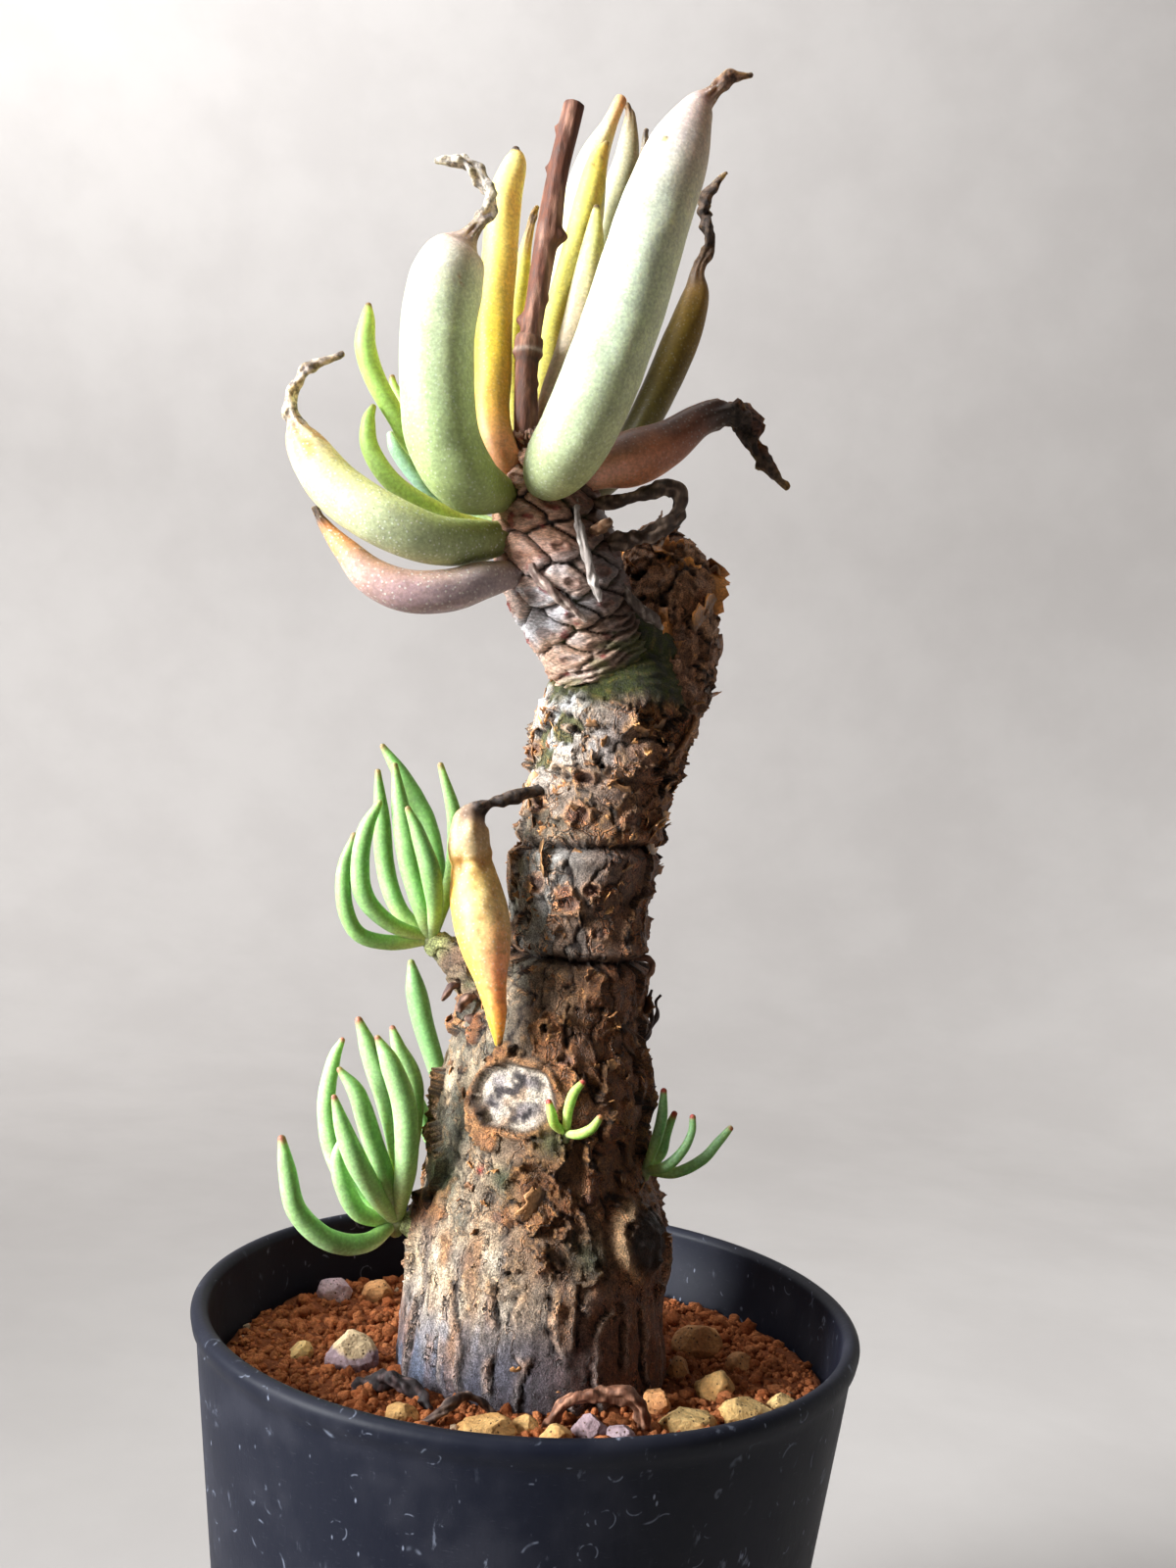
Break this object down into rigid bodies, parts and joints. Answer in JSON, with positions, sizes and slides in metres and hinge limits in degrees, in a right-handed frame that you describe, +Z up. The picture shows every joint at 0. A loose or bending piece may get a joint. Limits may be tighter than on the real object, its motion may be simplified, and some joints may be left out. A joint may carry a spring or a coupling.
{
  "type": "potted tylecodon",
  "caption": "Old succulent with a thick flaking trunk, fleshy leaves, side shoots and a dead flower stalk, standing in gritty soil in a round black plastic plant pot.",
  "frame": {"origin": "centre of the pot's flat bottom", "axes": "+Z up along the pot's axis; -Y is the front, with the two largest sage leaves and the bark scar; +X is to the right seen from the front"},
  "size_m": [0.09, 0.09, 0.2542],
  "materials": {
    "pot": "matte black moulded plastic with a faint blue sheen, fine scuffs and dried water marks",
    "soil": "loose red-brown fired clay granules",
    "bark": "old grey-brown bark, plated and flaking below, scaled with old leaf bases above",
    "sage": "fleshy pale sage leaf with a white bloom",
    "golden": "fleshy leaf turned golden yellow",
    "lime": "fleshy lime leaf",
    "blush": "fleshy leaf, pink below and lime above",
    "cream": "fleshy cream yellow leaf with an orange tip",
    "grey_green": "fleshy grey green leaf",
    "mustard": "fleshy olive and mustard leaf with a dried tip",
    "rose": "dusty pink leaf drying to black",
    "speckled": "fleshy yellow-green leaf with fine pale speckles",
    "mauve": "fleshy mauve-brown leaf with an orange tip",
    "apple": "fleshy apple green leaf",
    "blue_green": "fleshy blue-green leaf",
    "shoot": "young smooth green leaves with pink points",
    "stalk": "dry red-brown flower stalk",
    "dry": "shrivelled dead leaf and bark",
    "amber": "dying leaf, beige above and orange below, on a black dried foot",
    "tan_stone": "tan pebble",
    "purple_stone": "purple-grey pebble",
    "yellow_stone": "pale yellow pebble",
    "brown_stone": "brown clay pebble"
  },
  "bodies": {
    "root": {"pot": "pot", "soil": "soil", "trunk": "bark", "flower_stalk": "stalk", "hanging_leaf": "amber", "dried_loop": "dry", "bark_curl": "dry", "dead_leaf": "dry", "straw": "dry", "leaf_front_left": "sage", "leaf_front_right": "sage", "leaf_yellow_left": "golden", "leaf_lime_back": "lime", "leaf_bright_yellow": "golden", "leaf_pink_lime": "blush", "leaf_cream_back": "cream", "leaf_grey_back": "grey_green", "leaf_behind_sage": "sage", "leaf_mustard": "mustard", "leaf_dusty_pink": "rose", "leaf_speckled_left": "speckled", "leaf_mauve_left": "mauve", "leaf_green_far_left": "apple", "leaf_green_low_left": "apple", "leaf_green_small": "apple", "leaf_blue_green": "blue_green", "tuft_branch": "shoot", "tuft_low_left": "shoot", "tuft_back_left": "shoot", "tuft_front": "shoot", "tuft_right": "shoot", "stone_tan_front": "tan_stone", "stone_tan_small": "tan_stone", "stone_purple": "purple_stone", "stone_ridged": "purple_stone", "stone_yellow_long": "yellow_stone", "stone_yellow_wide": "yellow_stone", "stone_yellow_edge": "yellow_stone", "stone_tan_right": "tan_stone", "stone_brown_far": "brown_stone", "stone_brown_right": "brown_stone", "stone_brown_near": "brown_stone", "stone_round": "brown_stone", "stone_yellow_left": "yellow_stone", "stone_cut": "purple_stone", "stone_pink_back": "purple_stone", "stone_brown_back": "brown_stone", "stone_tan_left": "tan_stone", "stone_chip": "tan_stone"}
  },
  "joints": []
}
